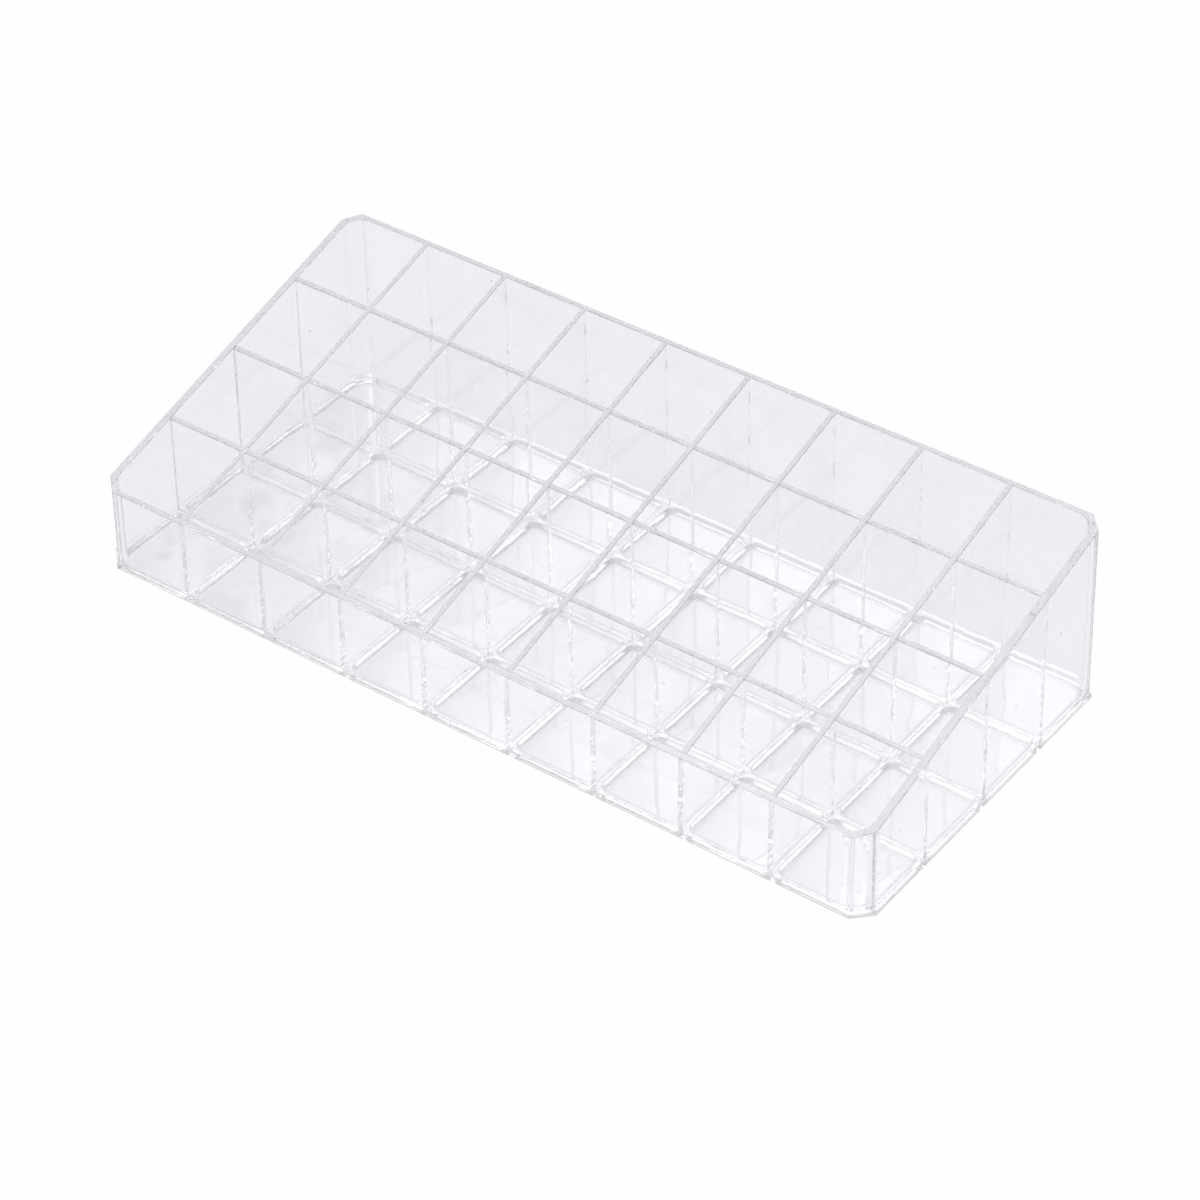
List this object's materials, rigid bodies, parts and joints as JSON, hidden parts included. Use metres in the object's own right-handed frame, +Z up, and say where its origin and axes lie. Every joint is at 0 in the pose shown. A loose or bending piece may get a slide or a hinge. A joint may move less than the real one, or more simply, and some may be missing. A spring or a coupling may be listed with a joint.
{
  "type": "sloped lipstick organiser",
  "caption": "Clear plastic vanity tray with a sloping rim, clipped corners and a crossed grid of divider plates whose open square cells hold lipsticks upright.",
  "frame": {"origin": "middle of the underside of the base plate", "axes": "+X along the tray from left to right, +Y from the low front to the tall back, +Z up"},
  "size_m": [0.2254, 0.1008, 0.0511],
  "materials": {
    "clear_plastic": "polished, clear with a faint lavender-grey cast"
  },
  "bodies": {
    "root": {"outer_shell": "clear_plastic", "base_plate": "clear_plastic", "long_divider_1": "clear_plastic", "long_divider_2": "clear_plastic", "long_divider_3": "clear_plastic", "cross_divider_1": "clear_plastic", "cross_divider_2": "clear_plastic", "cross_divider_3": "clear_plastic", "cross_divider_4": "clear_plastic", "cross_divider_5": "clear_plastic", "cross_divider_6": "clear_plastic", "cross_divider_7": "clear_plastic", "cross_divider_8": "clear_plastic"}
  },
  "joints": []
}
